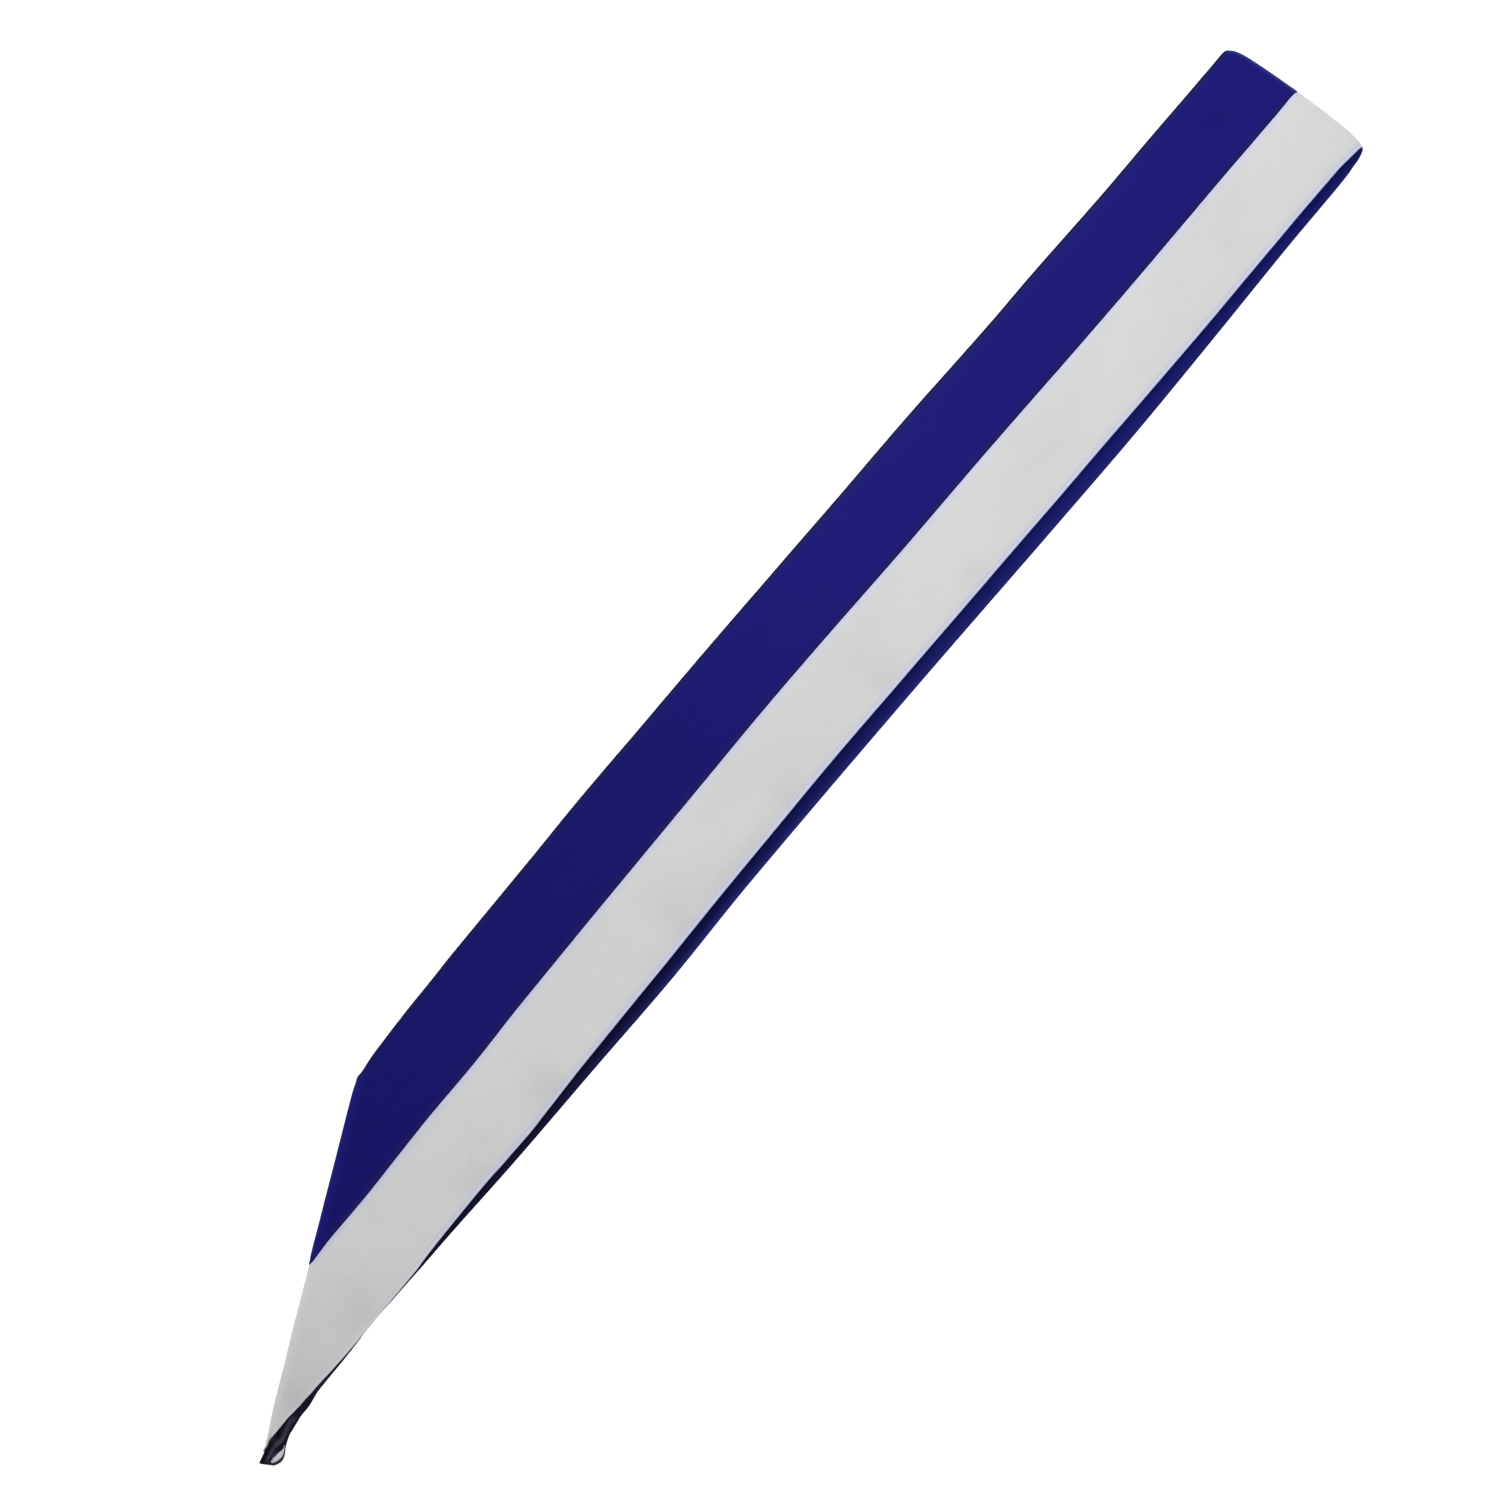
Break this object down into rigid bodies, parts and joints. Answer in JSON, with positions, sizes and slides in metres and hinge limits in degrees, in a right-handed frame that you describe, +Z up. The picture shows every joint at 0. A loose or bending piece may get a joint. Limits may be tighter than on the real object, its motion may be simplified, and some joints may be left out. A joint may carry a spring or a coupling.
{
  "type": "ceremonial sash",
  "caption": "Shoulder sash lying flat as a closed loop: blue and white satin stripes side by side, a navy lining, a rounded shoulder fold and a slanted join that makes a point.",
  "frame": {"origin": "on the table under the middle of the sash as it lies", "axes": "+X across the band from the blue stripe to the white one, +Y along the band from the point to the shoulder fold, +Z up"},
  "size_m": [0.1162, 0.9924, 0.0169],
  "materials": {
    "blue_satin": "satin",
    "white_satin": "satin",
    "navy_lining": "satin"
  },
  "bodies": {
    "root": {"blue_ribbon": "blue_satin", "white_ribbon": "white_satin", "lining": "navy_lining"}
  },
  "joints": []
}
